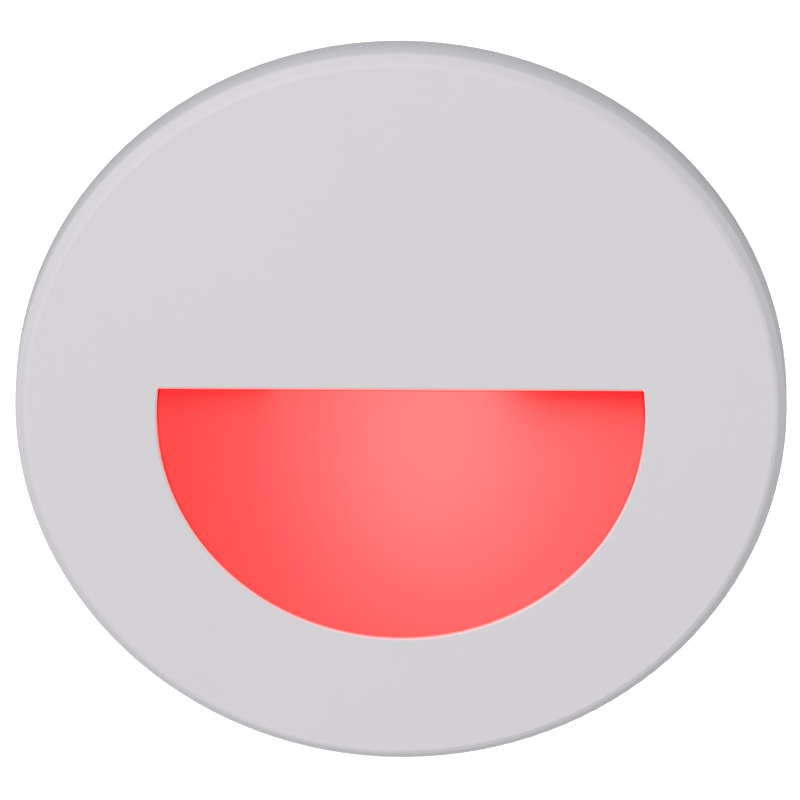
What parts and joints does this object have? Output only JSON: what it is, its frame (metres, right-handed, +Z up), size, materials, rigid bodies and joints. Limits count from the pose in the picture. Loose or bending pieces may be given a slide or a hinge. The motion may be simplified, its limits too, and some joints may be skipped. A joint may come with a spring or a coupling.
{
  "type": "step light",
  "caption": "Round recessed step light: bevelled grey trim disc with a lit red half-moon lens, finned housing, cable gland and sprung clips that grip the panel.",
  "frame": {"origin": "on the axis of the trim disc, in the plane of its back rim, which is the face of the wall", "axes": "+Z up on the wall, +Y into the wall along the disc's axis, +X to the right of someone who faces the lens from the front (they look along +Y)"},
  "size_m": [0.089, 0.06, 0.089],
  "materials": {
    "trim_finish": "satin light grey powder coat",
    "lens_red": "frosted red diffuser, lit",
    "die_casting": "satin cast",
    "white_moulding": "matte white",
    "foam": "matte foam",
    "silicone": "matte",
    "black_rubber": "matte",
    "stainless": "satin",
    "spring_steel": "drawn wire",
    "thermal": "soft matte",
    "board_white": "white solder mask",
    "board_green": "green solder mask",
    "led_ceramic": "matte",
    "led_resin": "clear red resin, lit",
    "plug_nylon": "natural",
    "lead_red": "extruded",
    "lead_black": "extruded",
    "brass": "turned",
    "can_sleeve": "shrink sleeve",
    "ferrite": "matte",
    "copper": "enamelled",
    "moulded_black": "moulded epoxy",
    "terminal_green": "moulded",
    "gland_nylon": "moulded nylon"
  },
  "bodies": {
    "fixture": {"trim_plate": "trim_finish", "window_lens": "lens_red", "lens_gasket": "silicone", "wall_gasket": "foam", "light_chamber": "white_moulding", "housing_oring": "black_rubber", "trim_screws": "stainless", "housing": "die_casting", "body_gasket": "silicone", "body_screws": "stainless", "driver_housing": "die_casting", "thermal_pad": "thermal", "led_board": "board_white", "led_packages": "led_ceramic", "led_fills": "led_resin", "board_plug": "plug_nylon", "board_screws": "stainless", "wire_grommet": "black_rubber", "positive_lead": "lead_red", "negative_lead": "lead_black", "board_pillars": "brass", "driver_board": "board_green", "driver_screws": "stainless", "smoothing_capacitor": "can_sleeve", "choke_core": "ferrite", "choke_winding": "copper", "bridge_rectifier": "moulded_black", "driver_chip": "moulded_black", "chip_resistors": "moulded_black", "flyback_diode": "moulded_black", "terminal_block": "terminal_green", "terminal_screws": "stainless", "rear_cover": "die_casting", "rear_cover_gasket": "silicone", "rear_cover_screws": "stainless", "gland_body": "gland_nylon", "gland_bush": "black_rubber", "gland_seal_washer": "black_rubber", "gland_lock_nut": "gland_nylon", "gland_nut": "gland_nylon", "bracket_screws": "stainless", "clip_bracket_right": "stainless", "clip_pin_right": "stainless", "clip_spring_right": "spring_steel", "clip_bracket_left": "stainless", "clip_pin_left": "stainless", "clip_spring_left": "spring_steel"},
    "clip_right": {"clip_arm_right": "stainless", "clip_tip_right": "black_rubber"},
    "clip_left": {"clip_arm_left": "stainless", "clip_tip_left": "black_rubber"}
  },
  "joints": [
    {"name": "right_clip_hinge", "type": "hinge", "parent": "fixture", "child": "clip_right", "pos_m": [0.0289, 0.016, 0], "axis": [0, 0, 1], "range_deg": [0, 135], "stiffness_Nm_per_rad": 0.015, "springref_deg": -45.84, "deforming": ["clip_spring_right"]},
    {"name": "left_clip_hinge", "type": "hinge", "parent": "fixture", "child": "clip_left", "pos_m": [-0.0289, 0.016, 0], "axis": [0, 0, -1], "range_deg": [0, 135], "stiffness_Nm_per_rad": 0.015, "springref_deg": -45.84, "deforming": ["clip_spring_left"]}
  ]
}
